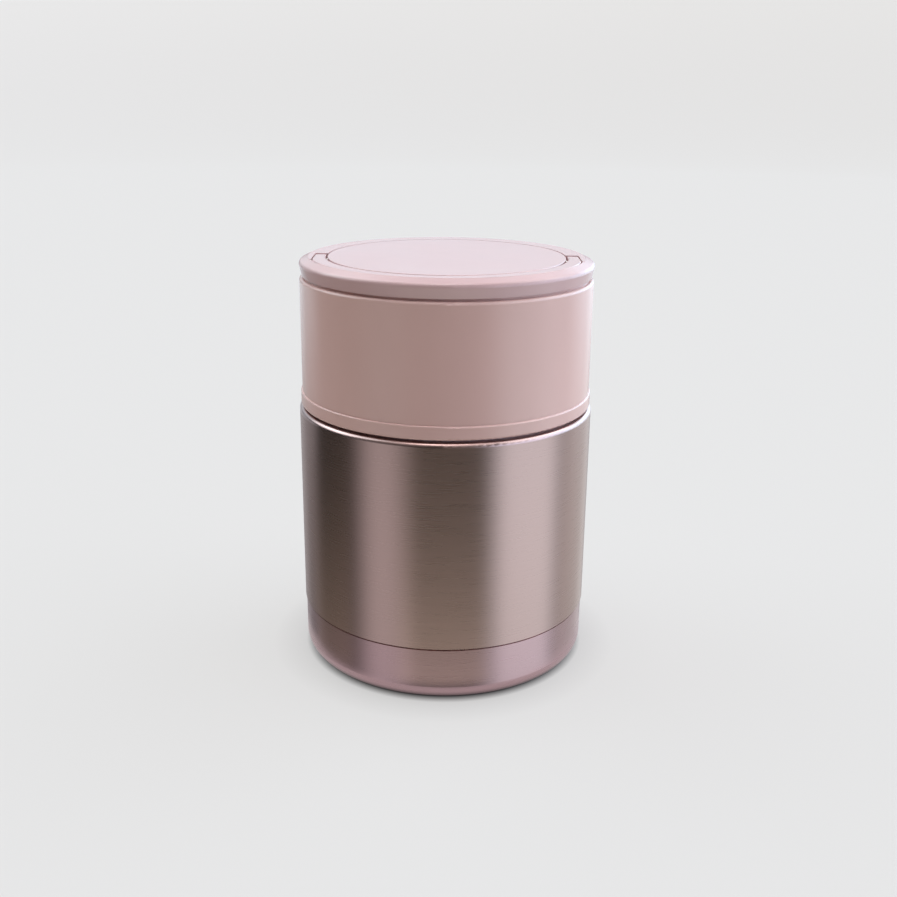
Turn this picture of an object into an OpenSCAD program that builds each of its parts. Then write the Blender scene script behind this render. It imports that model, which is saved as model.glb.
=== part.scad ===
// Wide-mouth insulated food jar: double-walled steel body, insulated stopper with a
// release valve, screw lid with a spoon compartment, and a cap with a flush folding handle.
// Millimetres. The origin is on the table under the jar's axis, and the front is -Y.

/* [Jar body] */
// Outer radius of the steel body
jar_r = 52.3; // [46:0.1:60]
// Height of the steel shoulder above the table
jar_h = 93.2; // [80:0.1:130]
// Thickness of the drawn steel walls
steel_t = 0.6; // [0.4:0.1:0.9]
// Rounding of the shoulder's outer edge
shoulder_r = 1.4; // [1:0.1:3]
// Vacuum gap between the outer shell and the liner
vacuum_gap = 4.4; // [3:0.1:6]
// Inside rounding of the liner's bottom corner
liner_corner_r = 12; // [6:0.5:16]
// Rounding where the liner's wall turns in under the shoulder
liner_turn_r = 4; // [2:0.1:6]
// Rounding where the liner turns up into the neck
neck_turn_r = 2.4; // [1.5:0.1:4]

/* [Base cup] */
// Height of the base cup
base_h = 19.4; // [14:0.1:30]
// How far the base cup stands in from the steel body
base_inset = 0.4; // [0.2:0.1:1]
// Rounding of the base cup's lower corner
base_corner_r = 5.5; // [4:0.5:8]
// Open groove between the base cup and the steel body
base_groove = 0.7; // [0.4:0.1:1.2]
// Width of the ring that stands on the table, inside the rounded corner
foot_ring_w = 3; // [2:0.5:6]
// Height of the recess inside the standing ring
foot_recess = 2; // [1:0.1:3]

/* [Bottom plate] */
// Height of the bottom plate's turned-up rim
plate_rim_h = 3; // [2:0.1:4]
// Radius of the dimple that holds the vacuum seal
dimple_r = 6; // [4:0.5:9]
// Depth of that dimple
dimple_h = 1.5; // [1:0.1:2.5]
// Radius of the vacuum seal's bead
seal_bead_r = 3.5; // [2:0.1:3.8]
// Radius of the getter tablet
getter_r = 5; // [3:0.5:7]
// Thickness of the getter tablet
getter_h = 1.6; // [1:0.1:2.5]

/* [Neck and mouth] */
// Width of the shoulder, from the body's side to the neck
shoulder_w = 9.3; // [8.5:0.1:14]
// Gap between the two walls of the neck
neck_gap = 2; // [1.2:0.1:3]
// Height of the neck above the shoulder
neck_h = 15.5; // [14:0.5:22]
// Rounding at the foot of the neck
neck_foot_r = 1.2; // [0.6:0.1:1.8]

/* [Stopper] */
// Room for the screw thread between the plug and the mouth
plug_thread_room = 1.4; // [1:0.1:2]
// How far the plug reaches down below the mouth
plug_len = 14; // [10:0.5:14]
// Wall of the stopper's body
plug_t = 1.8; // [1.2:0.1:2.5]
// Rounding of the plug's lower edge
plug_edge_r = 2.5; // [1:0.1:4]
// Thickness of the gasket
gasket_h = 1.3; // [0.8:0.1:2.5]
// Thickness of the stopper's flange
flange_h = 1.7; // [1.2:0.1:3]
// Height of the stopper's cover
cover_h = 2.6; // [2.2:0.1:4]
// Depth of the dish in the top of the cover
cover_dish_h = 1; // [0.5:0.1:1.2]
// Width of the cover's raised rim
cover_rim_w = 4; // [3:0.1:6]
// Number of grip scallops round the cover
scallop_count = 30; // [18:1:40]
// Radius of one grip scallop
scallop_r = 1.6; // [1:0.1:2.2]

/* [Release valve] */
// Radius of the button's head
button_r = 7; // [5:0.1:9]
// Thickness of the button's head
button_h = 1.4; // [1:0.1:2]
// Radius of the button's stem
stem_r = 2; // [1.5:0.1:2.5]
// How far the button travels when it is pressed
valve_travel = 1.5; // [1:0.1:2]
// Inner radius of the valve tube that guides the spring
valve_tube_r = 4.6; // [4.2:0.1:5.5]
// Wall of the valve tube
valve_tube_t = 1.2; // [0.8:0.1:2]
// Radius of the silicone valve disc
valve_disc_r = 6; // [4:0.1:8]
// Thickness of the silicone valve disc
valve_disc_h = 1.5; // [1:0.1:2.5]
// Diameter of the spring's wire
spring_wire = 0.6; // [0.4:0.1:0.8]
// Turns of the spring
spring_turns = 5; // [3:1:7]

/* [Lid] */
// How far the lid stands in from the steel body
lid_inset = 1.1; // [0.4:0.1:2]
// Height of the proud band round the lid's lower edge
band_h = 4.7; // [3:0.1:8]
// How far that band stands out from the lid
band_proud = 0.5; // [0.3:0.1:0.8]
// Open gap between the steel shoulder and the lid's edge
lid_gap = 0.9; // [0.5:0.1:1.5]
// Wall of the lid's shell
lid_t = 2; // [1.5:0.1:2.5]
// Rounding of the lid's upper edge
lid_edge_r = 1; // [0.5:0.1:1.5]
// Thickness of the collar that the cap sits on
collar_t = 2.2; // [1.8:0.1:3.5]
// Width of the collar's raised seat, from the compartment outwards
seat_w = 3.6; // [2.5:0.1:4]
// Wall of the threaded lid liner
liner_t = 1.8; // [1.4:0.1:2.1]
// Room for the screw thread between the neck and the lid liner
neck_thread_room = 2; // [1.4:0.1:2.2]
// Height of the flange at the lid liner's lower end
liner_flange_h = 2.2; // [1.5:0.1:3]
// Free height over the stopper, inside the lid
headroom = 6.5; // [5:0.1:10]
// Thickness of the lid's foam disc
foam_h = 3; // [2:0.1:6]
// Air gap between the lid's shell and the spoon tray
tray_air = 1.6; // [1:0.1:2]
// Wall of the spoon tray
tray_t = 1.6; // [1.2:0.1:2]

/* [Cap] */
// Thickness of the cap's floor under the handle
cap_floor_t = 1.3; // [1:0.1:2]
// How much the cap's side draws in from top to bottom
cap_taper = 0.8; // [0:0.1:1.2]
// Rounding of the cap's upper edge
cap_edge_r = 1.2; // [0.5:0.1:2]
// Width of the cap's outer rim
rim_w = 3.7; // [2.6:0.1:5]
// How much the rim's top falls from the handle's channel to the rounded edge
rim_fall = 1.0; // [0:0.1:1.5]
// Dark seam between the cap and the lid's side
seam_h = 0.9; // [0.5:0.1:1.5]
// Thickness of the round top plate
disc_t = 1.2; // [0.8:0.1:1.4]
// Line left open round the top plate on the fixed deck
disc_line = 0.3; // [0.2:0.1:0.5]
// Wall of the hub that carries the top plate
hub_t = 2.6; // [2:0.1:4]
// Play between the cap's skirt and the compartment wall
skirt_fit = 0.8; // [0.6:0.1:1.2]
// Wall of the skirt
skirt_t = 2; // [1.6:0.1:2.6]
// How far the skirt reaches down into the compartment
skirt_h = 5; // [4:0.1:7]
// Thickness of the plate under the cap
underplate_t = 1.4; // [1:0.1:2]
// Thickness of the O-ring's cord
oring_d = 1.6; // [1.2:0.1:2]

/* [Carry handle] */
// Width of the handle's band
handle_w = 5.1; // [4.5:0.1:8]
// Thickness of the handle
handle_t = 4.3; // [4:0.1:6.5]
// Gap between the handle and the top plate
handle_gap_in = 0.6; // [0.4:0.1:1]
// Gap between the handle and the outer rim
handle_gap_out = 0.5; // [0.4:0.1:1]
// Width of the handle's end that sits on the pin
knuckle_w = 3.6; // [2.5:0.1:4]
// How far the narrow end reaches forward of the pin
knuckle_len = 12; // [6:0.1:13]
// Rounding along the handle's long edges
handle_edge_r = 0.6; // [0.3:0.1:1]
// Radius of the handle's pins
pin_r = 0.8; // [0.6:0.1:0.9]

/* [Spoon] */
// Width of the spoon's bowl
bowl_w = 38; // [28:0.5:42]
// Depth of the spoon's bowl
bowl_depth = 7.5; // [5:0.1:10]
// Thickness of the spoon's steel
spoon_t = 0.8; // [0.6:0.1:1.2]
// Thickness of the spoon's handle
grip_t = 1.4; // [1:0.1:2]
// Half width of the handle at its free end
grip_end_r = 6; // [5:0.1:8]
// Half width of the handle and the tab at the rivet
grip_pivot_r = 5; // [4:0.1:6]
// Radius of the rivet's shank
rivet_r = 1.6; // [1.2:0.1:2]
// Height of each rivet head
rivet_head_h = 0.8; // [0.5:0.1:1.2]
// Room between the folded spoon and the cap's skirt
spoon_gap = 3.2; // [2:0.1:6]

/* [Clearances] */
// Running clearance between pieces that move past each other
run_gap = 0.3; // [0.2:0.05:0.4]
// Radial clearance of a pin, stem or rivet in its hole
pin_fit = 0.05; // [0.03:0.01:0.1]
// Play left between pieces that are pressed or glued together
set_gap = 0.1; // [0.05:0.01:0.2]

/* [Hidden] */

$fn = 120;
over = 0.5;       // how far a cut runs past the face it opens
sides = [-1, 1];

// Body and base
base_r = jar_r - base_inset;
shell_z = base_h + base_groove;
step_r = base_r - steel_t - set_gap;
step_z = base_corner_r + run_gap;
plate_z = step_z;
plate_r = step_r - steel_t - set_gap / 2;
foot_recess_r = base_r - base_corner_r - foot_ring_w;
foot_recess_edge_r = 1;
getter_x = plate_r / 2;

// Liner and neck
liner_r = jar_r - steel_t - vacuum_gap - steel_t;
liner_z = plate_z + steel_t + vacuum_gap + steel_t;
liner_top_z = jar_h - steel_t - vacuum_gap / 2 - steel_t;
neck_r = jar_r - shoulder_w;
mouth_r = neck_r - steel_t - neck_gap - steel_t;
neck_z = jar_h + neck_h;
ledge_w = liner_r - mouth_r;
turn_r = min(liner_turn_r, ledge_w / 2);
neck_fill_r = min(neck_turn_r, ledge_w - turn_r);

// Stopper
plug_r = mouth_r - plug_thread_room;
plug_z = neck_z - plug_len;
flange_z = neck_z + gasket_h;
cover_z = flange_z + flange_h;
stopper_z = cover_z + cover_h;
tube_r = valve_tube_r + valve_tube_t;
gasket_r = neck_r - set_gap;
button_z = stopper_z - button_h;
barb_h = 0.8;
barb_r = stem_r + 0.5;
valve_disc_z = plug_z - valve_disc_h;
spring_low_z = plug_z + plug_t;
spring_r = valve_tube_r - run_gap - spring_wire / 2;

// Lid
lid_r = jar_r - lid_inset;
lid_in_r = lid_r - lid_t;
lid_z = jar_h + lid_gap;
lid_liner_r = neck_r + neck_thread_room;
ceiling_z = stopper_z + headroom;
foam_z = ceiling_z + liner_t;
tray_z = foam_z + foam_h;
tray_floor_z = tray_z + tray_t;
tray_r = lid_in_r - tray_air - tray_t;

// Spoon, folded flat in the tray
bowl_z = tray_floor_z + run_gap;
bowl_rim_z = bowl_z + bowl_depth;
grip_z = bowl_rim_z + set_gap;
rivet_top_z = grip_z + grip_t + set_gap + rivet_head_h;
underplate_z = rivet_top_z + 2 * run_gap;

// Cap
seat_z = underplate_z + underplate_t;
lid_top_z = seat_z - seam_h;
cap_r = lid_r;
channel_z = seat_z + cap_floor_t;
deck_z = channel_z + run_gap + handle_t;
rim_in_r = cap_r - rim_w;
handle_r = rim_in_r - handle_gap_out;
handle_in_r = handle_r - handle_w;
disc_r = handle_in_r - handle_gap_in;
disc_z = deck_z - disc_t;
hub_r = disc_r - hub_t;
skirt_r = tray_r - skirt_fit;
skirt_in_r = skirt_r - skirt_t;
oring_z = seat_z - skirt_h / 2;
oring_r = tray_r - run_gap - oring_d / 2;

// Handle pivot
pivot_z = deck_z - handle_t / 2;
knuckle_r = handle_in_r + knuckle_w;
ear_r = knuckle_r + handle_gap_out;
ear_reach = knuckle_len - 1;
deck_y = handle_t / 2 + run_gap;
pin_in = hub_r + run_gap;
pin_out = rim_in_r - run_gap;

// Spoon lengths follow the round compartment
spoon_half = skirt_in_r - spoon_gap;
rivet_y = spoon_half - grip_pivot_r - 2;
bowl_tip_y = 1 - spoon_half;
bowl_heel_y = rivet_y - 2.6 * grip_pivot_r;
bowl_mid_y = (bowl_tip_y + bowl_heel_y) / 2;
bowl_half_l = (bowl_heel_y - bowl_tip_y) / 2;
bowl_arc_l = (pow(bowl_half_l, 2) + pow(bowl_depth, 2)) / (2 * bowl_depth);
bowl_arc_w = (pow(bowl_w / 2, 2) + pow(bowl_depth, 2)) / (2 * bowl_depth);
rivet_head_r = rivet_r + 1.4;

// ---- Shared outlines ----

// The piece between a square corner at the origin and an arc of radius r that rounds it.
// The arc's centre lies toward dx, dy. It cuts an outer corner or fills an inner one.
module corner(r, dx, dy) {
    difference() {
        translate([dx > 0 ? -over : -r, dy > 0 ? -over : -r]) square(r + over);
        translate([dx * r, dy * r]) circle(r);
    }
}

// Half section of a round can from height low to high, with its two outer corners rounded
module can(r, low, high, low_r = 0, high_r = 0) {
    difference() {
        translate([0, low]) square([r, high - low]);
        if (low_r > 0) translate([r, low]) corner(low_r, -1, 1);
        if (high_r > 0) translate([r, high]) corner(high_r, -1, -1);
    }
}

// Half section of a flat ring
module band(r_in, r_out, low, high) {
    translate([r_in, low]) square([r_out - r_in, high - low]);
}

// A rod along X that starts at x and is length long, at the handle's pivot height
module pivot_rod(r, x, length) {
    translate([x, 0, pivot_z]) rotate([0, 90, 0]) cylinder(h = length, r = r, $fn = 48);
}

// ---- Steel body ----

// Outside form of the outer shell, drawn in by inset for its inner face
module shell_form(inset) {
    can(jar_r - inset, shell_z + inset, jar_h - inset, 0, shoulder_r - inset);
    band(0, step_r - inset, step_z - (inset > 0 ? over : 0), shell_z + 2 * inset + over);
    band(0, neck_r - inset, jar_h - 2 * steel_t, neck_z - steel_t + (inset > 0 ? over : 0));
    translate([neck_r - inset, jar_h - inset]) corner(neck_foot_r + inset, 1, 1);
}

module outer_shell() {
    color("#b29a98") rotate_extrude() difference() {
        shell_form(0);
        shell_form(steel_t);
    }
}

// Inside form of the vessel, let out by grow for its outer face
module vessel_form(grow) {
    can(liner_r + grow, liner_z - grow, liner_top_z + grow, liner_corner_r + grow, turn_r + grow);
    band(0, mouth_r + grow, liner_top_z - turn_r, neck_z + (grow > 0 ? 0 : over));
    translate([mouth_r + grow, liner_top_z + grow]) corner(neck_fill_r - grow, 1, 1);
}

module inner_liner() {
    color("#c9c9c6") rotate_extrude() difference() {
        union() {
            vessel_form(steel_t);
            band(0, neck_r, neck_z - steel_t, neck_z);
        }
        vessel_form(0);
    }
}

// Welded pan that closes the vacuum space, with a dimple pressed up in its middle
module bottom_plate() {
    color("#a7a7a5") rotate_extrude() difference() {
        union() {
            can(plate_r, plate_z, plate_z + plate_rim_h, steel_t);
            can(dimple_r + steel_t, plate_z, plate_z + dimple_h + steel_t, 0, steel_t);
        }
        difference() {
            band(0, plate_r - steel_t, plate_z + steel_t, plate_z + plate_rim_h + over);
            can(dimple_r + steel_t, plate_z, plate_z + dimple_h + steel_t, 0, steel_t);
        }
        band(0, dimple_r, plate_z - over, plate_z + dimple_h);
    }
}

module vacuum_seal() {
    color("#3d3a38") rotate_extrude($fn = 48)
        can(seal_bead_r, plate_z + steel_t / 2, plate_z + dimple_h, dimple_h / 3);
}

module getter() {
    color("#8d8578") translate([getter_x, 0, plate_z + steel_t])
        cylinder(h = getter_h, r = getter_r, $fn = 48);
}

module base_cup() {
    color("#a3898a") rotate_extrude() difference() {
        can(base_r, 0, base_h, base_corner_r);
        difference() {
            can(base_r - steel_t, steel_t, base_h + over, base_corner_r - steel_t);
            can(foot_recess_r + steel_t, 0, foot_recess + steel_t, 0, foot_recess_edge_r + steel_t);
        }
        can(foot_recess_r, -over, foot_recess, 0, foot_recess_edge_r);
    }
}

// ---- Stopper ----

// Plug with a flange on top and a tube up its middle for the valve
module stopper_body() {
    color("#e9dde0") rotate_extrude() difference() {
        union() {
            can(plug_r, plug_z, cover_z, plug_edge_r);
            band(0, neck_r, flange_z, cover_z);
        }
        difference() {
            can(plug_r - plug_t, plug_z + plug_t, cover_z + over, plug_edge_r / 2);
            band(0, tube_r, plug_z, cover_z);
        }
        band(0, valve_tube_r, plug_z + plug_t, cover_z + over);
        band(0, stem_r + pin_fit, plug_z - over, cover_z);
    }
}

// Foam ring that fills the plug round the valve tube
module stopper_foam() {
    color("#f4f1ea") rotate_extrude() difference() {
        can(plug_r - plug_t - set_gap, plug_z + plug_t, cover_z - set_gap, plug_edge_r / 2);
        band(0, tube_r + set_gap, plug_z, cover_z);
    }
}

// Dished cover with a scalloped rim and a well for the button
module stopper_cover() {
    dish_r = neck_r - cover_rim_w;
    well_r = button_r + run_gap;
    color("#efe4e6") difference() {
        rotate_extrude() difference() {
            can(neck_r, cover_z, stopper_z, 0, 0.8);
            difference() {
                band(0, dish_r, stopper_z - cover_dish_h, stopper_z + over);
                band(0, well_r + plug_t, cover_z, stopper_z + over);
            }
            band(0, well_r, stopper_z - button_h, stopper_z + over);
            band(0, valve_tube_r, cover_z - over, stopper_z);
        }
        for (i = [0:scallop_count - 1]) rotate([0, 0, i * 360 / scallop_count])
            translate([neck_r + scallop_r / 2, 0, cover_z - over])
                cylinder(h = cover_h + 2 * over, r = scallop_r, $fn = 32);
    }
}

module stopper_gasket() {
    color("#d9d6d2") rotate_extrude() difference() {
        band(mouth_r, gasket_r, neck_z, flange_z);
        translate([gasket_r + gasket_h / 4, neck_z + gasket_h / 2]) circle(gasket_h / 2, $fn = 32);
    }
}

// ---- Release valve ----

// Button, stem and the barb that holds the valve disc, in one moulding
module valve_button() {
    head_low_z = button_z + valve_travel;
    color("#d5a9ad") rotate_extrude($fn = 72) {
        can(button_r, head_low_z, head_low_z + button_h, 0, button_h / 2);
        band(0, stem_r, valve_disc_z, head_low_z + button_h / 2);
        can(barb_r, valve_disc_z - barb_h, valve_disc_z, barb_h / 2);
    }
}

module valve_disc() {
    color("#cfcac6") rotate_extrude($fn = 72) difference() {
        can(valve_disc_r, valve_disc_z, plug_z, valve_disc_h / 3);
        band(0, stem_r + pin_fit, valve_disc_z - over, plug_z + over);
    }
}

// Round wire wound in a helix and swept as one closed tube
module valve_spring() {
    wire_sides = 8;
    steps = 16 * spring_turns;
    low = spring_low_z + spring_wire / 2;
    rise = button_z + valve_travel - spring_wire / 2 - low;
    points = [
        for (i = [0:steps]) for (k = [0:wire_sides - 1])
            let (
                turn = 360 * spring_turns * i / steps,
                side = 360 * k / wire_sides,
                r = spring_r + spring_wire / 2 * cos(side)
            )
            [r * cos(turn), r * sin(turn), low + rise * i / steps + spring_wire / 2 * sin(side)]
    ];
    tube = [
        for (i = [0:steps - 1]) for (k = [0:wire_sides - 1])
            let (next = (k + 1) % wire_sides)
            [i * wire_sides + k, (i + 1) * wire_sides + k, (i + 1) * wire_sides + next, i * wire_sides + next]
    ];
    first = [for (k = [0:wire_sides - 1]) k];
    last = [for (k = [wire_sides - 1:-1:0]) steps * wire_sides + k];
    color("#9fa1a3") polyhedron(points, concat(tube, [first, last]));
}

// ---- Lid ----

// Outer wall with its proud lower band and the collar that carries the cap
module lid_shell() {
    color("#c9a7a6") rotate_extrude() difference() {
        union() {
            can(lid_r, lid_z, lid_top_z, 0, lid_edge_r);
            can(lid_r + band_proud, lid_z, lid_z + band_h, 0.6, band_proud);
            band(0, tray_r + seat_w, lid_top_z - collar_t, seat_z);
        }
        band(0, lid_in_r, lid_z - over, lid_top_z - collar_t);
        band(0, tray_r, lid_z, seat_z + over);
    }
}

// Inverted cup that screws on the neck, with a flange that rests on the steel shoulder
module lid_liner() {
    color("#e3cfd1") rotate_extrude() difference() {
        union() {
            can(lid_liner_r + liner_t, jar_h, foam_z, 0, 1.5);
            band(0, lid_in_r - set_gap, jar_h, lid_z + liner_flange_h);
        }
        can(lid_liner_r, jar_h - over, ceiling_z, 0, 1.5);
    }
}

module lid_foam() {
    color("#f4f1ea") translate([0, 0, foam_z]) cylinder(h = foam_h, r = tray_r);
}

// Round tray under the collar that holds the folded spoon
module spoon_tray() {
    color("#e3cfd1") rotate_extrude() difference() {
        can(tray_r + tray_t, tray_z, lid_top_z - collar_t, 1.5);
        can(tray_r, tray_floor_z, seat_z, 1);
    }
}

// ---- Cap ----

// Where the line from a point touches a circle, on its left side (1) or its right side (-1)
function touch(point, centre, r, side) =
    let (
        d = norm(centre - point),
        angle = atan2(centre[1] - point[1], centre[0] - point[0]) + side * asin(r / d)
    )
    point + sqrt(d * d - r * r) * [cos(angle), sin(angle)];

// Half section of the cap's rim: its top falls outwards, its side draws in towards the bottom,
// and a rounded edge joins them
module rim_profile() {
    centre = [cap_r - cap_edge_r, deck_z - rim_fall - cap_edge_r];
    top_in = [rim_in_r, deck_z];
    foot = [cap_r - cap_taper, seat_z];
    translate(centre) circle(cap_edge_r, $fn = 64);
    polygon([
        [rim_in_r, seat_z],
        foot,
        touch(foot, centre, cap_edge_r, -1),
        centre,
        touch(top_in, centre, cap_edge_r, 1),
        top_in
    ]);
}

// Plan of the deck that stays when the handle swings up: the back half and the two ears
module deck_plan() {
    intersection() {
        difference() {
            circle(rim_in_r + over);
            circle(disc_r - over);
        }
        union() {
            translate([-jar_r, deck_y]) square([2 * jar_r, jar_r]);
            for (side = sides) translate([side > 0 ? ear_r : -jar_r, -ear_reach])
                square([jar_r - ear_r, ear_reach + deck_y + over]);
        }
    }
}

// Moulded body of the cap: rim, channel floor, hub, skirt and the fixed rear deck
module cap_ring() {
    color("#d0aeb0") difference() {
        union() {
            rotate_extrude() {
                rim_profile();
                band(hub_r, cap_r - cap_taper - over, seat_z, channel_z);
                band(hub_r, disc_r, seat_z, disc_z);
                difference() {
                    band(skirt_in_r, skirt_r, seat_z - skirt_h, seat_z + over);
                    translate([oring_r, oring_z]) circle(oring_d / 2 + set_gap, $fn = 32);
                }
            }
            translate([0, 0, seat_z + over]) linear_extrude(deck_z - seat_z - over) deck_plan();
        }
        translate([0, 0, disc_z]) cylinder(h = disc_t + over, r = disc_r + disc_line);
        for (side = sides)
            pivot_rod(pin_r + pin_fit, side > 0 ? hub_r - over : -pin_out - pin_fit, pin_out - hub_r + pin_fit + over);
    }
}

// Round top plate, with a spigot under it that centres it in the hub
module cap_disc() {
    color("#d8b9bb") rotate_extrude() {
        can(disc_r, disc_z, deck_z, 0, 0.3);
        band(hub_r - 2 * set_gap - hub_t / 2, hub_r - set_gap, disc_z - cap_floor_t, disc_z + disc_t / 2);
    }
}

module cap_underplate() {
    color("#dcc6c8") rotate_extrude()
        can(skirt_in_r - set_gap, underplate_z, seat_z, 0.4);
}

module cap_oring() {
    color("#e6e3df") rotate_extrude() translate([oring_r, oring_z]) circle(oring_d / 2, $fn = 32);
}

// ---- Carry handle ----

// Section of the handle's band, with its four long edges rounded
module handle_section() {
    difference() {
        band(handle_in_r, handle_r, deck_z - handle_t, deck_z);
        for (end = [[handle_in_r, 1], [handle_r, -1]]) {
            translate([end[0], deck_z]) corner(handle_edge_r, end[1], -1);
            translate([end[0], deck_z - handle_t]) corner(handle_edge_r, end[1], 1);
        }
    }
}

// Half ring that lies in the front of the channel, with a narrow round knuckle on each pin
module carry_handle() {
    color("#cfadaf") difference() {
        union() {
            rotate([0, 0, 180]) rotate_extrude(angle = 180) handle_section();
            for (side = sides)
                pivot_rod(handle_t / 2, side > 0 ? handle_in_r : -knuckle_r, knuckle_w);
        }
        for (side = sides) {
            translate([side > 0 ? knuckle_r : -jar_r, -knuckle_len, pivot_z - handle_t])
                cube([jar_r - knuckle_r, knuckle_len + over, 2 * handle_t]);
            pivot_rod(pin_r + pin_fit, side > 0 ? handle_in_r - over : -knuckle_r - over, knuckle_w + 2 * over);
        }
    }
}

module handle_pin(side) {
    color("#b9bbbd") pivot_rod(pin_r, side > 0 ? pin_in : -pin_out, pin_out - pin_in);
}

module handle_pin_left() {
    handle_pin(-1);
}

module handle_pin_right() {
    handle_pin(1);
}

// ---- Folding spoon ----

// Bowl's outside as a body turned about a lengthwise axis, drawn in by inset for the inside
module bowl_form(inset) {
    translate([0, bowl_mid_y, bowl_rim_z + bowl_arc_w - bowl_depth]) rotate([90, 0, 0])
        rotate_extrude($fn = 96) intersection() {
            translate([bowl_arc_w - bowl_arc_l, 0]) circle(bowl_arc_l - inset, $fn = 180);
            translate([0, -bowl_half_l - over]) square([2 * bowl_arc_w, 2 * (bowl_half_l + over)]);
        }
}

module spoon_bowl() {
    color("#c4c5c6") difference() {
        union() {
            intersection() {
                difference() {
                    bowl_form(0);
                    bowl_form(spoon_t);
                }
                translate([-bowl_w, bowl_mid_y - 2 * bowl_half_l, bowl_z - over])
                    cube([2 * bowl_w, 4 * bowl_half_l, bowl_depth + over]);
            }
            translate([0, 0, bowl_rim_z - spoon_t]) linear_extrude(spoon_t)
                strip(bowl_heel_y - grip_pivot_r, grip_pivot_r, rivet_y + grip_pivot_r, grip_pivot_r);
        }
        translate([0, rivet_y, bowl_rim_z - spoon_t - over])
            cylinder(h = spoon_t + 2 * over, r = rivet_r + pin_fit, $fn = 48);
    }
}

// Plan of a strip that tapers along Y between two half widths, with its four corners rounded
module strip(low_y, low_half, high_y, high_half) {
    difference() {
        polygon([
            [-low_half, low_y], [low_half, low_y],
            [high_half, high_y], [-high_half, high_y]
        ]);
        for (side = sides) {
            translate([side * low_half, low_y]) corner(0.9 * low_half, -side, 1);
            translate([side * high_half, high_y]) corner(0.9 * high_half, -side, -1);
        }
    }
}

// Flat handle that widens from the rivet to its free end, with a long slot
module spoon_grip() {
    slot_half = grip_end_r / 3;
    slot_len = 4 * grip_end_r;
    color("#cbccce") translate([0, 0, grip_z]) linear_extrude(grip_t) difference() {
        strip(-spoon_half, grip_end_r, rivet_y + grip_pivot_r, grip_pivot_r);
        strip(slot_half * 2 - spoon_half, slot_half, slot_len - spoon_half, slot_half);
        translate([0, rivet_y]) circle(rivet_r + pin_fit, $fn = 48);
    }
}

module spoon_rivet() {
    low_z = bowl_rim_z - spoon_t - rivet_head_h;
    color("#d0d1d2") translate([0, rivet_y, 0]) rotate_extrude($fn = 64) {
        can(rivet_head_r, low_z, low_z + rivet_head_h, rivet_head_h / 2);
        band(0, rivet_r, low_z, rivet_top_z);
        can(rivet_head_r, rivet_top_z - rivet_head_h, rivet_top_z, 0, rivet_head_h / 2);
    }
}

outer_shell();
inner_liner();
bottom_plate();
vacuum_seal();
getter();
base_cup();
stopper_body();
stopper_foam();
stopper_cover();
stopper_gasket();
valve_button();
valve_disc();
valve_spring();
lid_shell();
lid_liner();
lid_foam();
spoon_tray();
cap_ring();
cap_disc();
cap_underplate();
cap_oring();
carry_handle();
handle_pin_left();
handle_pin_right();
spoon_bowl();
spoon_grip();
spoon_rivet();
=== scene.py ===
"""Looks of the insulated food jar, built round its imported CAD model.

Metres and the CAD model's own frame: the jar stands on z = 0 with its axis on Z, and its front is -Y.
The CAD nodes keep their shapes and get their finishes here. The screw threads, the bayonet lugs and the
release valve's coil are new pieces.
"""
from math import pi, radians

import bpy
import numpy as np
from mathutils import Matrix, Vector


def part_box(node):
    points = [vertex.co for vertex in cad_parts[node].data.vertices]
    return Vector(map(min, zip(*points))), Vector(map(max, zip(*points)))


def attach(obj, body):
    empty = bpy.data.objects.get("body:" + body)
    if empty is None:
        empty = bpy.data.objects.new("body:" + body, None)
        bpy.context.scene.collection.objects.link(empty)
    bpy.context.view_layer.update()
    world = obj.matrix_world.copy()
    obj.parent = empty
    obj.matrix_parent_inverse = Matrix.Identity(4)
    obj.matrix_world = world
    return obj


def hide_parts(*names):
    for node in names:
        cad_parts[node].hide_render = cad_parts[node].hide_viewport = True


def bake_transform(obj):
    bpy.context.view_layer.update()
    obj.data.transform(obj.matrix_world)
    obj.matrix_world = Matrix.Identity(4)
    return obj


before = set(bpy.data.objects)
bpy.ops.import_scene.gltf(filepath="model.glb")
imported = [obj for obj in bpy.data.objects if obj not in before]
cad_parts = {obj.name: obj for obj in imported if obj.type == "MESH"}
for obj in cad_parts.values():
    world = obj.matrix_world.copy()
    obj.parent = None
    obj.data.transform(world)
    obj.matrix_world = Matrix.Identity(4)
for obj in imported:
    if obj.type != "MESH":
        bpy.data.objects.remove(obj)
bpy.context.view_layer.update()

MM = 0.001


# ---- Colour and nodes ----

def linear(code):
    """Linear colour of an sRGB hex code, as four numbers."""
    srgb = np.array([int(code[i:i + 2], 16) for i in (1, 3, 5)]) / 255
    return (*np.where(srgb <= 0.04045, srgb / 12.92, ((srgb + 0.055) / 1.055) ** 2.4), 1.0)


def add(tree, kind, inputs=None, **settings):
    """Adds one node. inputs maps a socket's name or number to its value, or to the socket that feeds it."""
    node = tree.nodes.new(kind)
    for name, value in settings.items():
        setattr(node, name, value)
    for socket, value in (inputs or {}).items():
        if isinstance(value, bpy.types.NodeSocket):
            tree.links.new(value, node.inputs[socket])
        else:
            node.inputs[socket].default_value = value
    return node


def pattern(tree, size, detail=2.0, kind="ShaderNodeTexNoise", **settings):
    """A pattern on Object coordinates. Its features measure size, three lengths in metres along X, Y, Z."""
    place = add(tree, "ShaderNodeTexCoord").outputs["Object"]
    scaled = add(tree, "ShaderNodeMapping", {"Vector": place, "Scale": [1 / length for length in size]})
    inputs = {"Vector": scaled.outputs[0], "Scale": 1.0, "Detail": detail}
    return add(tree, kind, inputs, **settings).outputs[0]


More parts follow.
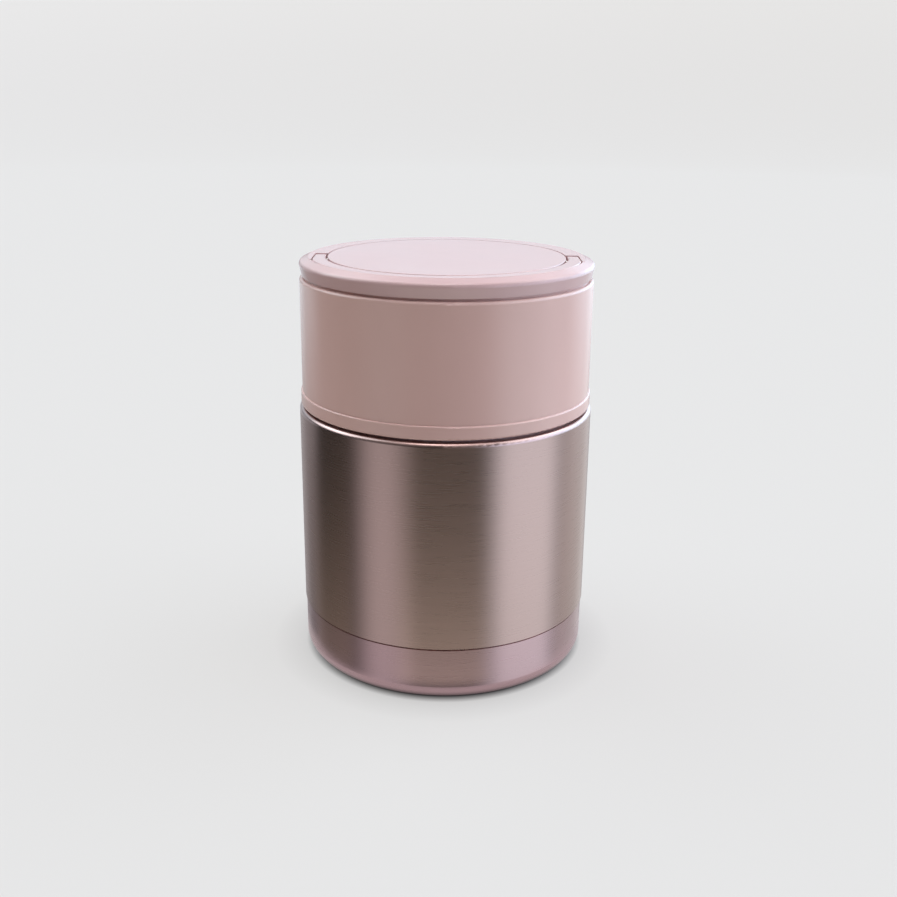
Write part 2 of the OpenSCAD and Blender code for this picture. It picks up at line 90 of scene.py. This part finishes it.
def between(tree, value, low, high, from_low=0.3, from_high=0.7):
    """Value carried from one range to another and held at its ends. A noise keeps mostly to 0.3 to 0.7."""
    inputs = {"Value": value, "From Min": from_low, "From Max": from_high, "To Min": low, "To Max": high}
    return add(tree, "ShaderNodeMapRange", inputs).outputs[0]


def mixed(tree, factor, first, second):
    """Colour between two colours or sockets, by a factor from 0 to 1."""
    return add(tree, "ShaderNodeMix", {0: factor, 6: first, 7: second}, data_type="RGBA").outputs[2]


def bumped(tree, height, depth, normal=None):
    """Normal of a surface raised by height times depth, in metres."""
    inputs = {"Height": height, "Distance": depth, "Strength": 1.0}
    if normal:
        inputs["Normal"] = normal
    return add(tree, "ShaderNodeBump", inputs).outputs[0]


def material(name, build):
    """A material whose Principled shader takes the inputs that build(tree) returns."""
    made = bpy.data.materials.new(name)
    made.use_nodes = True
    tree = made.node_tree
    tree.nodes.clear()
    shader = add(tree, "ShaderNodeBsdfPrincipled", build(tree))
    add(tree, "ShaderNodeOutputMaterial", {"Surface": shader.outputs[0]})
    return made


# ---- Finishes ----

BRUSH_PITCH = 0.3 * MM      # real lines are about 0.1 mm apart; drawn coarser so that they show
BRUSH_LENGTH = 14 * MM
SCRATCH_PITCH = 0.35 * MM
SCRATCH_LENGTH = 6 * MM
LACQUER_TOP = 93.3 * MM      # the tinted lacquer ends at the foot of the neck


def brushed_rose_steel(tint):
    """304 stainless, turned and brushed round the axis, under a rose-tinted clear lacquer that stops below
    the neck. The brushing draws each light out into a tall soft band; fine level lines run across it."""
    def build(tree):
        lines = pattern(tree, (BRUSH_LENGTH, BRUSH_LENGTH, BRUSH_PITCH), detail=3)
        marks = pattern(tree, (SCRATCH_LENGTH, SCRATCH_LENGTH, SCRATCH_PITCH), detail=1)
        scratch = between(tree, marks, 0, 0.05, 0.66, 0.8)
        place = add(tree, "ShaderNodeTexCoord").outputs["Object"]
        height = add(tree, "ShaderNodeSeparateXYZ", {0: place}).outputs["Z"]
        bare = between(tree, height, 0, 1, LACQUER_TOP, LACQUER_TOP + 0.4 * MM)
        lacquer = mixed(tree, between(tree, lines, 0, 1), linear(tint[0]), linear(tint[1]))
        metal = mixed(tree, bare, lacquer, linear("#c9c6c2"))
        around = add(tree, "ShaderNodeTangent", direction_type="RADIAL", axis="Z")
        return {
            "Base Color": mixed(tree, scratch, metal, linear("#e6d6d4")),
            "Metallic": 1.0,
            "Roughness": between(tree, lines, 0.27, 0.29),
            "Anisotropic": 0.5,
            "Anisotropic Rotation": 0.25,
            "Tangent": around.outputs[0],
            "Normal": bumped(tree, lines, 0.001 * MM),
        }
    return build


def satin_steel(tree):
    """304 stainless as spun and electropolished: soft turning marks round the axis, milky reflections."""
    rings = pattern(tree, (20 * MM, 20 * MM, 0.6 * MM), detail=3)
    cloud = pattern(tree, (25 * MM, 25 * MM, 25 * MM))
    return {
        "Base Color": mixed(tree, between(tree, cloud, 0, 1), linear("#c8c6c2"), linear("#d3d1cd")),
        "Metallic": 1.0,
        "Roughness": between(tree, rings, 0.24, 0.36),
        "Normal": bumped(tree, rings, 0.01 * MM),
    }


TOOL_TEXTURE = 0.35 * MM
TOOL_RELIEF = 0.0015 * MM


def moulded(colour, deep, roughness):
    """Injection-moulded polypropylene or ABS, smooth from a satin tool: an even colour with a faint flow
    mottle, a slight long wave in its reflections and a very fine tool texture."""
    def build(tree):
        flow = pattern(tree, (18 * MM, 18 * MM, 40 * MM), detail=3)
        wave = pattern(tree, (22 * MM, 22 * MM, 55 * MM), detail=0)
        grain = pattern(tree, (TOOL_TEXTURE, TOOL_TEXTURE, TOOL_TEXTURE), detail=1)
        waved = bumped(tree, wave, 0.02 * MM)
        return {
            "Base Color": mixed(tree, between(tree, flow, 0, 1), linear(colour), linear(deep)),
            "Roughness": between(tree, flow, roughness - 0.03, roughness + 0.03),
            "IOR": 1.5,
            "Specular IOR Level": 0.5,
            "Normal": bumped(tree, grain, TOOL_RELIEF, waved),
        }
    return build


def silicone(tree):
    """Clear-grey moulded silicone rubber: matt, faintly milky, with dust-fine mottling."""
    dust = pattern(tree, (1.2 * MM, 1.2 * MM, 1.2 * MM), detail=3)
    return {
        "Base Color": mixed(tree, between(tree, dust, 0, 1), linear("#cfcbc6"), linear("#dedbd6")),
        "Roughness": between(tree, dust, 0.42, 0.55),
        "IOR": 1.41,
        "Subsurface Weight": 0.25,
        "Subsurface Radius": (0.8 * MM, 0.7 * MM, 0.6 * MM),
        "Subsurface Scale": 1.0,
        "Normal": bumped(tree, dust, 0.01 * MM),
    }


BEAD = 2.5 * MM


def bead_foam(tree):
    """Moulded polystyrene bead foam: white, matt, a mosaic of pressed beads."""
    place = add(tree, "ShaderNodeTexCoord").outputs["Object"]
    inputs = {"Vector": place, "Scale": 1 / BEAD}
    beads = add(tree, "ShaderNodeTexVoronoi", inputs, feature="DISTANCE_TO_EDGE")
    edge = between(tree, beads.outputs["Distance"], 0, 1, 0, 0.12)
    return {
        "Base Color": mixed(tree, edge, linear("#d9d5cb"), linear("#f3f0e9")),
        "Roughness": 0.85,
        "IOR": 1.3,
        "Normal": bumped(tree, edge, 0.12 * MM),
    }


def fused_glass(tree):
    """Fused glass bead that closes the vacuum port: dark, glossy, with a few pin bubbles."""
    bubbles = pattern(tree, (0.7 * MM, 0.7 * MM, 0.7 * MM), detail=1)
    pinholes = between(tree, bubbles, 0, 1, 0.6, 0.7)
    return {
        "Base Color": mixed(tree, pinholes, linear("#2d2b2a"), linear("#57524e")),
        "Roughness": between(tree, bubbles, 0.06, 0.2),
        "IOR": 1.52,
        "Normal": bumped(tree, bubbles, 0.02 * MM),
    }


def getter_powder(tree):
    """Pressed zirconium getter powder: dull grey-brown, grainy."""
    grains = pattern(tree, (0.25 * MM, 0.25 * MM, 0.25 * MM), detail=3)
    return {
        "Base Color": mixed(tree, between(tree, grains, 0, 1), linear("#6f675c"), linear("#97907f")),
        "Metallic": 0.6,
        "Roughness": between(tree, grains, 0.55, 0.8),
        "Normal": bumped(tree, grains, 0.05 * MM),
    }


def spring_wire(tree):
    """Drawn stainless spring wire: bright, with lengthwise die marks."""
    marks = pattern(tree, (1.5 * MM, 1.5 * MM, 0.08 * MM), detail=2)
    return {
        "Base Color": mixed(tree, between(tree, marks, 0, 1), linear("#a9a9a8"), linear("#c4c4c2")),
        "Metallic": 1.0,
        "Roughness": between(tree, marks, 0.2, 0.32),
        "Normal": bumped(tree, marks, 0.004 * MM),
    }


def ground_pin(tree):
    """Centreless-ground stainless pin: bright, ground rings round its own length, which lies along X."""
    rings = pattern(tree, (0.12 * MM, 2 * MM, 2 * MM), detail=2)
    return {
        "Base Color": mixed(tree, between(tree, rings, 0, 1), linear("#b6b6b6"), linear("#cfcfce")),
        "Metallic": 1.0,
        "Roughness": between(tree, rings, 0.16, 0.28),
        "Normal": bumped(tree, rings, 0.003 * MM),
    }


def polished_spoon_steel(tree):
    """Stamped 304 stainless, mirror buffed: clear reflections, hazed by buffing lines along the spoon."""
    buffing = pattern(tree, (0.25 * MM, 9 * MM, 9 * MM), detail=3)
    return {
        "Base Color": mixed(tree, between(tree, buffing, 0, 1), linear("#cfcfce"), linear("#dadad8")),
        "Metallic": 1.0,
        "Roughness": between(tree, buffing, 0.1, 0.2),
        "Normal": bumped(tree, buffing, 0.004 * MM),
    }


# Each finish with the record's slot, and the CAD nodes that carry it
FINISHES = {
    "rose_lacquered_brushed_steel": (brushed_rose_steel(("#ba9e9a", "#bea19d")), ["outer_shell"]),
    "rose_lacquered_base_steel": (brushed_rose_steel(("#bc9ca0", "#bf9fa3")), ["base_cup"]),
    "electropolished_steel": (satin_steel, ["inner_liner", "bottom_plate"]),
    "fused_glass": (fused_glass, ["vacuum_seal"]),
    "getter_powder": (getter_powder, ["getter"]),
    "pale_rose_polypropylene": (moulded("#ead9db", "#e4d1d4", 0.38), ["stopper_body", "stopper_cover"]),
    "polystyrene_bead_foam": (bead_foam, ["stopper_foam", "lid_foam"]),
    "silicone_rubber": (silicone, ["stopper_gasket", "valve_disc", "cap_oring"]),
    "rose_button_plastic": (moulded("#cf9fa4", "#c8969c", 0.33), ["valve_button"]),
    "drawn_spring_wire": (spring_wire, ["valve_spring"]),
    "pink_lid_plastic": (moulded("#ddb5ae", "#d9b1aa", 0.22), ["lid_shell"]),
    "rose_liner_polypropylene": (moulded("#e0c9cb", "#d9c0c3", 0.4), ["lid_liner", "spoon_tray"]),
    "pink_cap_plastic": (moulded("#cfabab", "#cba7a7", 0.2), ["cap_ring", "cap_disc", "cap_underplate"]),
    "pink_handle_plastic": (moulded("#ceabab", "#caa7a7", 0.2), ["carry_handle"]),
    "ground_pin_steel": (ground_pin, ["handle_pin_left", "handle_pin_right"]),
    "buffed_spoon_steel": (polished_spoon_steel, ["spoon_bowl", "spoon_grip", "spoon_rivet"]),
}


def paint(piece, finish):
    """Puts one finish in the piece's material slot."""
    piece.data.materials.clear()
    piece.data.materials.append(finish)


finishes = {}
for finish_name, (build_finish, finished_nodes) in FINISHES.items():
    finishes[finish_name] = material(finish_name, build_finish)
    for node_name in finished_nodes:
        paint(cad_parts[node_name], finishes[finish_name])


# ---- New pieces ----

SHARP_ANGLE = radians(40)
ROOT_DEPTH = 0.15 * MM       # how far the root of a thread or lug lies inside its wall


def skin(name, grid):
    """Closed mesh of a tube given as rings of points, an array (rings, points, 3), with both ends capped."""
    rings, count = grid.shape[:2]
    ring, point = np.meshgrid(np.arange(rings - 1), np.arange(count), indexing="ij")
    after = (point + 1) % count
    quads = np.stack([ring * count + point, ring * count + after,
                      (ring + 1) * count + after, (ring + 1) * count + point], -1).reshape(-1, 4)
    caps = [list(range(count - 1, -1, -1)), list(range((rings - 1) * count, rings * count))]
    mesh = bpy.data.meshes.new(name)
    mesh.from_pydata(grid.reshape(-1, 3).tolist(), [], quads.tolist() + caps)
    mesh.update()
    mesh.polygons.foreach_set("use_smooth", np.ones(len(mesh.polygons), bool))
    mesh.set_sharp_from_angle(angle=SHARP_ANGLE)
    piece = bpy.data.objects.new(name, mesh)
    bpy.context.scene.collection.objects.link(piece)
    return piece


def thread(radius, height, width, low, pitch, turns, sides=20):
    """Rings of a rounded thread ridge. Its middle climbs one pitch a turn from low. Across its width it rises
    as a sharpened half cosine wave to height, outward, or inward if height is negative, and over its first
    and last twelfth of a turn it fades smoothly to nothing. Its root lies inside the wall that carries it."""
    root = -ROOT_DEPTH * np.sign(height)
    angle = np.linspace(0, 2 * pi * turns, int(120 * turns) + 1)
    fade = np.clip(np.minimum(angle, angle[-1] - angle) / (pi / 6), 0, 1)
    fade = fade * fade * (3 - 2 * fade)
    across = np.linspace(-1, 1, sides)
    crest = np.cos(across * pi / 2) ** 1.5
    rise = np.concatenate([height * fade[:, None] * crest, np.full((len(angle), 2), root)], axis=1)
    along = np.concatenate([across, [1, -1]]) * width / 2
    turned = angle[:, None]
    out = radius + rise
    up = low + pitch * turned / (2 * pi) + along
    grid = np.stack([out * np.sin(turned), -out * np.cos(turned), np.broadcast_to(up, out.shape)], -1)
    return grid if height > 0 else grid[:, ::-1]


def arc_block(radius, height, low, high, middle, span):
    """Rings of a block that stands on a round wall. Its section is height deep, outward, or inward if height
    is negative, and runs from low to high, with its free corners cut back by a quarter both ways. It spans an
    angle round the axis about its middle."""
    root = -ROOT_DEPTH * np.sign(height)
    ease = (high - low) / 4
    depth = np.array([root, height * 0.75, height, height, height * 0.75, root])
    level = np.array([low, low, low + ease, high - ease, high, high])
    angle = np.linspace(middle - span / 2, middle + span / 2, 17)[:, None]
    out = radius + depth
    up = np.broadcast_to(level, (len(angle), len(level)))
    grid = np.stack([out * np.sin(angle), -out * np.cos(angle), up], -1)
    return grid if height < 0 else grid[:, ::-1]


def coil(radius, wire, low, high, turns, sides=12):
    """Rings of a wound wire that lies between low and high. Its middle turns round the axis and climbs
    evenly, and each ring is a circle across the wire."""
    angle = np.linspace(0, 2 * pi * turns, 32 * turns + 1)[:, None]
    across = np.linspace(0, 2 * pi, sides, endpoint=False)
    out = radius + wire / 2 * np.cos(across)
    up = low + wire / 2 + (high - low - wire) * angle / angle[-1] + wire / 2 * np.sin(across)
    return np.stack([out * np.cos(angle), out * np.sin(angle), up], -1)


def placed(name, grid, body, finish):
    """A new piece with its finish, riding on a CAD body."""
    piece = skin(name, grid)
    paint(piece, finishes[finish])
    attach(piece, body)
    return piece


# Radii of the walls that carry the threads and lugs
NECK_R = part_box("stopper_cover")[1].x        # the cover is as wide as the neck
MOUTH_R = 39.8 * MM
PLUG_R = 38.4 * MM
LID_LINER_R = 45.0 * MM
TRAY_R = 46.0 * MM
SKIRT_R = 45.2 * MM

# Each inner thread runs half a pitch above the outer thread that it meets
NECK_PITCH = 5.0 * MM
NECK_THREAD_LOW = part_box("lid_liner")[0].z + 3.6 * MM
PLUG_PITCH = 4.4 * MM
PLUG_THREAD_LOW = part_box("stopper_body")[0].z + 3.2 * MM

placed("neck_thread",
       thread(NECK_R, height=1.2 * MM, width=2.4 * MM, low=NECK_THREAD_LOW, pitch=NECK_PITCH, turns=1.6),
       "jar", "rose_lacquered_brushed_steel")
placed("lid_thread",
       thread(LID_LINER_R, height=-1.1 * MM, width=1.8 * MM, low=NECK_THREAD_LOW + NECK_PITCH / 2,
              pitch=NECK_PITCH, turns=1.5),
       "lid", "rose_liner_polypropylene")
placed("plug_thread",
       thread(PLUG_R, height=0.9 * MM, width=1.7 * MM, low=PLUG_THREAD_LOW, pitch=PLUG_PITCH, turns=1.6),
       "stopper", "pale_rose_polypropylene")
placed("mouth_thread",
       thread(MOUTH_R, height=-0.8 * MM, width=1.8 * MM, low=PLUG_THREAD_LOW + PLUG_PITCH / 2,
              pitch=PLUG_PITCH, turns=1.3),
       "jar", "electropolished_steel")

# The cap twists in: its lugs stand on the skirt, under the ledges round the tray's wall
LUG_COUNT = 3
LUG_SPAN = radians(22)
SKIRT_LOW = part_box("cap_ring")[0].z
LUG_LEVELS = (SKIRT_LOW + 0.1 * MM, SKIRT_LOW + 0.9 * MM)
LEDGE_LEVELS = (SKIRT_LOW + 1.0 * MM, SKIRT_LOW + 1.7 * MM)
for lug in range(LUG_COUNT):
    lug_at = 2 * pi * (lug + 0.5) / LUG_COUNT
    placed(f"cap_lug_{lug + 1}",
           arc_block(SKIRT_R, 0.6 * MM, *LUG_LEVELS, middle=lug_at, span=LUG_SPAN),
           "cap", "pink_cap_plastic")
    placed(f"tray_ledge_{lug + 1}",
           arc_block(TRAY_R, -0.5 * MM, *LEDGE_LEVELS, middle=lug_at, span=LUG_SPAN),
           "lid", "rose_liner_polypropylene")

# The release valve's spring: a wound coil that stands in for the CAD spring, which is hidden
SPRING_WIRE = 0.6 * MM
SPRING_TURNS = 5
spring_low, spring_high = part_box("valve_spring")
coil_rings = coil(spring_high.x - SPRING_WIRE / 2, SPRING_WIRE, spring_low.z, spring_high.z, SPRING_TURNS)
valve_coil = skin("valve_coil", coil_rings)
paint(valve_coil, finishes["drawn_spring_wire"])
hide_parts("valve_spring")
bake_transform(valve_coil)


# ---- Stage ----

PAINTED_FOOT_SHADOW = (48 * MM, 52.5 * MM)       # radii over which the paper's glow rises from nothing: a painted contact shadow round the jar's foot
PAINTED_SHADOW_END = 65 * MM                    # radius where the paper's glow is full: the outer end of a fainter painted soft shadow round the jar
NEAR_FLOOR_R = 60 * MM                  # the part of the floor that the jar's foot mirrors
FLOOR_R = 2.4
SWEEP_R = 0.8
WALL_H = 3.0
ROUND = 192                             # points round each turned sheet


def turned_sheet(name, profile):
    """Open sheet turned about Z: the profile point (r, z) at angle t goes to (r sin t, -r cos t, z)."""
    angle = np.linspace(0, 2 * pi, ROUND, endpoint=False)
    radius, level = np.array(profile).T
    grid = np.stack([np.outer(radius, np.sin(angle)), np.outer(radius, -np.cos(angle)),
                     np.repeat(level[:, None], ROUND, 1)], -1)
    rows = len(radius)
    row, step = np.meshgrid(np.arange(rows - 1), np.arange(ROUND), indexing="ij")
    after = (step + 1) % ROUND
    quads = np.stack([row * ROUND + step, (row + 1) * ROUND + step,
                      (row + 1) * ROUND + after, row * ROUND + after], -1).reshape(-1, 4)
    mesh = bpy.data.meshes.new(name)
    mesh.from_pydata(grid.reshape(-1, 3).tolist(), [], quads.tolist())
    mesh.polygons.foreach_set("use_smooth", np.ones(len(mesh.polygons), bool))
    sheet = bpy.data.objects.new(name, mesh)
    bpy.context.scene.collection.objects.link(sheet)
    return sheet


def seamless_paper(tree):
    """Pale matt background paper. It glows a little so that it stays even: the glow is held back close round
    the jar, a painted contact shadow at the foot with a fainter painted soft shadow beyond it, and raised on
    the upright sweep."""
    place = add(tree, "ShaderNodeTexCoord").outputs["Object"]
    height = add(tree, "ShaderNodeSeparateXYZ", {0: place}).outputs["Z"]
    away = add(tree, "ShaderNodeVectorMath", {0: place}, operation="LENGTH").outputs["Value"]
    # Painted shadow: no glow at the foot, rising steeply, then a gentler rise out to the open paper
    glow_past_painted_foot_shadow = between(tree, away, 0, 0.68, *PAINTED_FOOT_SHADOW)
    glow_past_painted_soft_shadow = between(tree, away, 0, 0.1, PAINTED_FOOT_SHADOW[1], PAINTED_SHADOW_END)
    sweep_glow = between(tree, height, 0, 0.2, 0, 0.6)
    floor_glow = add(tree, "ShaderNodeMath", {0: glow_past_painted_foot_shadow, 1: glow_past_painted_soft_shadow}, operation="ADD").outputs[0]
    glow = add(tree, "ShaderNodeMath", {0: floor_glow, 1: sweep_glow}, operation="ADD").outputs[0]
    return {
        "Base Color": linear("#6c6a6a"),
        "Roughness": 1.0,
        "Specular IOR Level": 0.0,
        "Emission Color": linear("#e1e0df"),
        "Emission Strength": glow,
    }


sweep = [(FLOOR_R + SWEEP_R * np.sin(a), SWEEP_R * (1 - np.cos(a))) for a in np.linspace(0, pi / 2, 25)]
near_floor = turned_sheet("near_floor", [(0.0005, 0), (0.03, 0), (NEAR_FLOOR_R, 0)])
far_floor = turned_sheet("far_floor", [(NEAR_FLOOR_R, 0), (0.6, 0), *sweep, (FLOOR_R + SWEEP_R, WALL_H)])
paper = material("seamless_paper", seamless_paper)
for sheet in (near_floor, far_floor):
    paint(sheet, paper)
# The studio's lights stand in the world all round, so the paper lets them through
far_floor.visible_glossy = far_floor.visible_diffuse = far_floor.visible_shadow = False

# Soft lamps round the jar: azimuth from the front towards +X, elevation, half width, half height and soft
# edge in degrees, level, and colour. The sheets and the flank stand under the horizon, where the steel
# mirrors them as tall bands. The walls, sides and high lamps light the plastics, the top lamps draw the thin
# lines on edges and shoulder, and the low lamps behind give the cap and the silhouettes their sheen.
LAMPS = [
    ("right_sheet", 69, -22, 30, 12, 26, 1.55, "#edfcff"),
    ("right_rear_sheet", 132, -22, 28, 12, 20, 0.7, "#fafffa"),
    ("left_sheet", -50, -22, 18, 12, 30, 0.9, "#fbfdff"),
    ("left_flank", -105, -34, 24, 9, 14, 0.28, "#fff6dc"),
    ("left_rear_sheet", -150, -22, 28, 12, 20, 0.25, "#ffffff"),
    ("front_sheet", 0, -42, 38, 8, 14, 1.3, "#fafce6"),
    ("right_wall", 69, 10, 30, 14, 24, 2.4, "#d2e5ff"),
    ("right_rear", 132, 10, 28, 14, 20, 3.4, "#c8e8ff"),
    ("right_side", 105, 28, 24, 12, 16, 1.8, "#d8ecff"),
    ("left_side", -105, 28, 24, 12, 16, 2.9, "#e8f8ff"),
    ("high_front_left", -50, 50, 25, 14, 20, 0.3, "#fff5f6"),
    ("high_left", -115, 50, 45, 16, 14, 1.9, "#e8fbff"),
    ("high_right", 100, 50, 40, 16, 14, 2.6, "#f3fbff"),
    ("high_back", 180, 40, 70, 12, 14, 1.1, "#e8f6ff"),
    ("top", 0, 90, 181, 14, 10, 5.5, "#fffcfa"),
    ("top_front", 0, 68, 70, 10, 12, 1.6, "#fffcfa"),
    ("low_back", 180, 15, 50, 12, 8, 0.75, "#dcf4ff"),
    ("rear_wall", 180, 0, 35, 50, 14, 0.2, "#f6faff"),
    ("rear_low", 180, -8, 64, 5, 8, 0.8, "#e4f4ff"),
    ("table_glow", 0, -90, 181, 52, 16, 0.9, "#faf6f2"),
    ("front_fill", 0, 30, 110, 16, 20, 0.18, "#fff6f0"),
]


def lamp_world():
    """World light: the sum over the lamps of each one's colour times its level, times a soft step across its
    width and a soft step across its height."""
    world = bpy.data.worlds.new("soft_lamps")
    world.use_nodes = True
    tree = world.node_tree
    tree.nodes.clear()
    ray = add(tree, "ShaderNodeSeparateXYZ", {0: add(tree, "ShaderNodeTexCoord").outputs["Generated"]})
    front = add(tree, "ShaderNodeMath", {0: ray.outputs["Y"], 1: -1.0}, operation="MULTIPLY").outputs[0]
    azimuth = add(tree, "ShaderNodeMath", {0: ray.outputs["X"], 1: front}, operation="ARCTAN2").outputs[0]
    elevation = add(tree, "ShaderNodeMath", {0: ray.outputs["Z"]}, operation="ARCSINE").outputs[0]
    total = (0.0, 0.0, 0.0)
    for name, around, up, half_width, half_height, soft, level, colour in LAMPS:
        steps = []
        for socket, middle, half in ((azimuth, around, half_width), (elevation, up, half_height)):
            past = add(tree, "ShaderNodeMath", {0: socket, 1: radians(middle)}, operation="SUBTRACT")
            turn = add(tree, "ShaderNodeMath", {0: past.outputs[0], 1: pi, 2: -pi}, operation="WRAP")
            away = add(tree, "ShaderNodeMath", {0: turn.outputs[0]}, operation="ABSOLUTE")
            inputs = {"Value": away.outputs[0], "From Min": radians(half - soft / 2),
                      "From Max": radians(half + soft / 2), "To Min": 1.0, "To Max": 0.0}
            step = add(tree, "ShaderNodeMapRange", inputs, interpolation_type="SMOOTHSTEP")
            steps.append(step.outputs[0])
        mask = add(tree, "ShaderNodeMath", {0: steps[0], 1: steps[1]}, operation="MULTIPLY").outputs[0]
        glow = tuple(level * part for part in linear(colour)[:3])
        total = add(tree, "ShaderNodeVectorMath", {0: mask, 1: glow, 2: total}, operation="MULTIPLY_ADD",
                    name=name).outputs[0]
    background = add(tree, "ShaderNodeBackground", {"Color": total})
    add(tree, "ShaderNodeOutputWorld", {"Surface": background.outputs[0]})
    bpy.context.scene.world = world


lamp_world()


# ---- Camera ----

FRAME_PX = 897               # width and height of the picture
FOCAL_PX = 1120.2
CAMERA_AT = (0.0, -0.3909, 0.2034)
PITCH = radians(18.23)       # how far it looks down
YAW = radians(0.185)         # how far it turns towards +X
ROLL = radians(0.591)

camera_data = bpy.data.cameras.new("camera")
camera_data.sensor_width = 36
camera_data.lens = camera_data.sensor_width * FOCAL_PX / FRAME_PX
camera_data.clip_start = 0.01
camera = bpy.data.objects.new("camera", camera_data)
bpy.context.scene.collection.objects.link(camera)
camera.matrix_world = (Matrix.Translation(CAMERA_AT) @ Matrix.Rotation(-YAW, 4, "Z")
                       @ Matrix.Rotation(pi / 2 - PITCH, 4, "X") @ Matrix.Rotation(ROLL, 4, "Z"))
bpy.context.scene.camera = camera
bpy.context.scene.view_settings.view_transform = "Standard"
